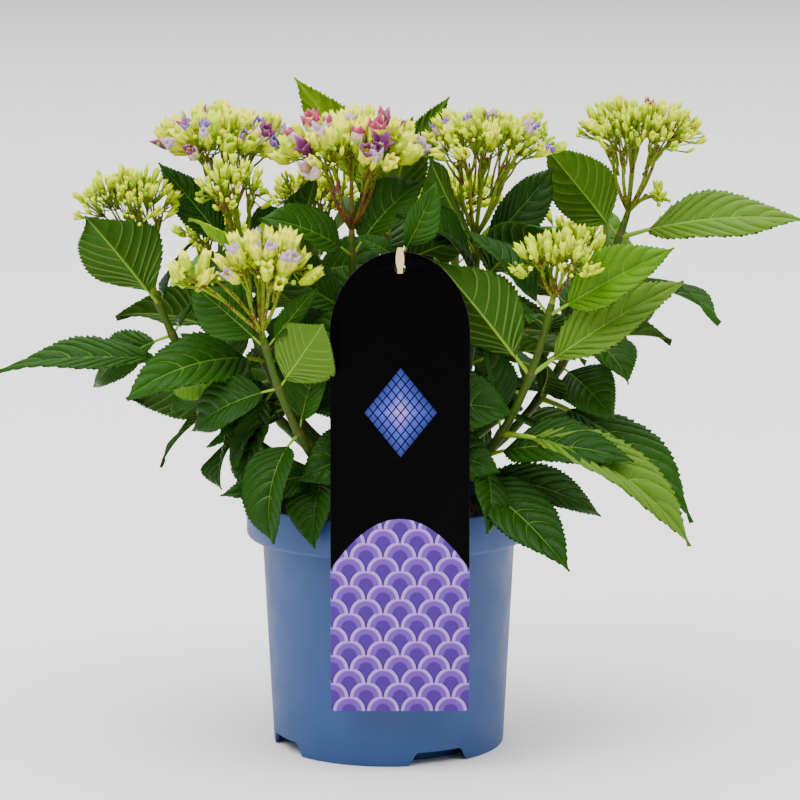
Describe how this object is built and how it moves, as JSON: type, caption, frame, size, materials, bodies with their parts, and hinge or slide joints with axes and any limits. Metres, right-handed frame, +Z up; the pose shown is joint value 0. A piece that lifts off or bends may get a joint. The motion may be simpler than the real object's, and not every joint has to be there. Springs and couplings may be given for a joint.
{
  "type": "potted hydrangea shrub",
  "caption": "Hydrangea shrub in bud, in a round nursery pot: stems that splay from a low woody crown, crossed pairs of toothed leaves, domed bud clusters and a tall hanging label",
  "frame": {"origin": "on the ground at the pot's axis, in the middle of the pot's flat underside", "axes": "+Z up; -Y is the front, where the label hangs; +X is the plant's right as seen from the front"},
  "size_m": [0.634, 0.3794, 0.5243],
  "materials": {
    "pot": "moulded mid-blue polypropylene, fine matt grain",
    "potting_soil": "dark moist peat and bark crumbs",
    "crown": "flaking brown bark",
    "stem": "green young wood with small brown specks",
    "leaves": "satin green leaves with sunken veins, paler beneath",
    "flowers": "lime and cream buds, a few tinged violet and pink",
    "label_card": null,
    "label_clip": "moulded cream plastic"
  },
  "bodies": {
    "root": {"pot": "pot", "potting_soil": "potting_soil", "crown": "crown", "label_card": "label_card", "label_clip": "label_clip", "bough_front_left": "stem", "leaves_front_left": "leaves", "flowers_front_left": "flowers", "bough_front_right": "stem", "leaves_front_right": "leaves", "flowers_front_right": "flowers", "bough_left": "stem", "leaves_left": "leaves", "flowers_left": "flowers", "bough_left_rear": "stem", "leaves_left_rear": "leaves", "flowers_left_rear": "flowers", "bough_left_mid": "stem", "leaves_left_mid": "leaves", "flowers_left_mid": "flowers", "bough_left_far": "stem", "leaves_left_far": "leaves", "flowers_left_far": "flowers", "bough_centre": "stem", "leaves_centre": "leaves", "flowers_centre": "flowers", "bough_right_mid": "stem", "leaves_right_mid": "leaves", "flowers_right_mid": "flowers", "bough_right": "stem", "leaves_right": "leaves", "flowers_right": "flowers", "bough_label": "stem", "leaves_label": "leaves", "bough_rear_right": "stem", "leaves_rear_right": "leaves", "flowers_rear_right": "flowers", "bough_rear": "stem", "leaves_rear": "leaves", "flowers_rear": "flowers", "bough_rear_mid": "stem", "leaves_rear_mid": "leaves", "bough_rear_left": "stem", "leaves_rear_left": "leaves", "flowers_rear_left": "flowers", "bough_rear_far_left": "stem", "leaves_rear_far_left": "leaves", "flowers_rear_far_left": "flowers"}
  },
  "joints": []
}
